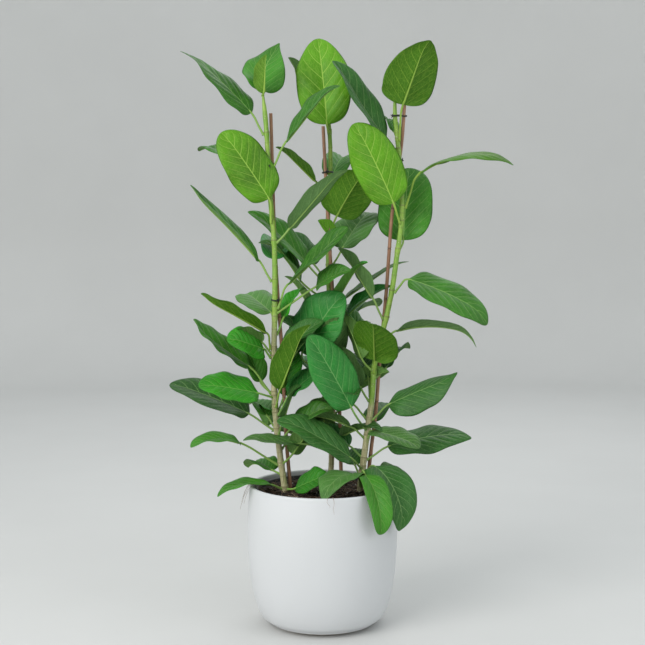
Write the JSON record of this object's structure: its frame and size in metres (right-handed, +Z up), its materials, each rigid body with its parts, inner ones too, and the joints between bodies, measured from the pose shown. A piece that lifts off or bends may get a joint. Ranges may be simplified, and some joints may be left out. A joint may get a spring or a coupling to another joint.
{
  "type": "potted bengal fig",
  "caption": "Tall bengal fig with staked woody stems and large oval pale-veined leaves, in a nursery pot set inside a round white ceramic cachepot.",
  "frame": {"origin": "centre of the cachepot's flat base, on the ground", "axes": "+Z up the plant; the fullest side of the plant faces -Y; +X to the right seen from -Y"},
  "size_m": [0.5524, 0.3202, 0.9489],
  "materials": {
    "ceramic_white": "smooth satin white glaze over stoneware",
    "pot_plastic": "thin dark grey moulded plastic",
    "soil_mix": "rough, dark, damp bark and peat mix",
    "bark_stem": "smooth green shoot turning grey-brown and woody at the foot, with ring scars",
    "bamboo": "dry pinkish-brown cane, dull",
    "tie_wire": "black plastic-covered tie wire",
    "leaf_lime": "waxy young yellow-green blade with pale veins",
    "leaf_bright": "waxy bright green blade with pale veins",
    "leaf_green": "waxy mid green blade with pale veins",
    "leaf_teal": "waxy blue-green blade with pale veins",
    "leaf_deep": "waxy dark green blade with pale veins",
    "leaf_olive": "waxy olive blade, its matt underside turned out",
    "leaf_grey": "waxy grey-green blade with pale veins"
  },
  "bodies": {
    "root": {"cachepot": "ceramic_white", "nursery_pot": "pot_plastic", "soil": "soil_mix", "stem_left": "bark_stem", "stem_centre": "bark_stem", "stem_right": "bark_stem", "stake_left": "bamboo", "stake_centre": "bamboo", "stake_right": "bamboo", "tie_upper_left": "tie_wire", "tie_lower_left": "tie_wire", "tie_centre": "tie_wire", "tie_upper_right": "tie_wire", "tie_lower_right": "tie_wire", "leaf_left_01": "leaf_green", "leaf_left_02": "leaf_lime", "leaf_left_03": "leaf_green", "leaf_left_04": "leaf_green", "leaf_left_05": "leaf_green", "leaf_left_06": "leaf_lime", "leaf_left_07": "leaf_grey", "leaf_left_08": "leaf_green", "leaf_left_09": "leaf_green", "leaf_left_10": "leaf_grey", "leaf_left_11": "leaf_olive", "leaf_left_12": "leaf_bright", "leaf_left_13": "leaf_green", "leaf_left_14": "leaf_bright", "leaf_left_15": "leaf_olive", "leaf_left_16": "leaf_teal", "leaf_left_17": "leaf_deep", "leaf_left_18": "leaf_green", "leaf_left_19": "leaf_green", "leaf_left_20": "leaf_bright", "leaf_centre_01": "leaf_lime", "leaf_centre_02": "leaf_olive", "leaf_centre_03": "leaf_grey", "leaf_centre_04": "leaf_olive", "leaf_centre_05": "leaf_green", "leaf_centre_06": "leaf_grey", "leaf_centre_07": "leaf_teal", "leaf_centre_08": "leaf_grey", "leaf_right_01": "leaf_olive", "leaf_right_02": "leaf_lime", "leaf_right_03": "leaf_green", "leaf_right_04": "leaf_olive", "leaf_right_05": "leaf_deep", "leaf_right_06": "leaf_green", "leaf_right_07": "leaf_grey", "leaf_right_08": "leaf_grey", "leaf_right_09": "leaf_olive", "leaf_right_10": "leaf_teal", "leaf_right_11": "leaf_deep", "leaf_right_12": "leaf_grey", "leaf_right_13": "leaf_deep", "leaf_right_14": "leaf_grey", "leaf_right_15": "leaf_deep", "leaf_right_16": "leaf_grey", "leaf_right_17": "leaf_deep", "leaf_centre_09": "leaf_deep"}
  },
  "joints": []
}
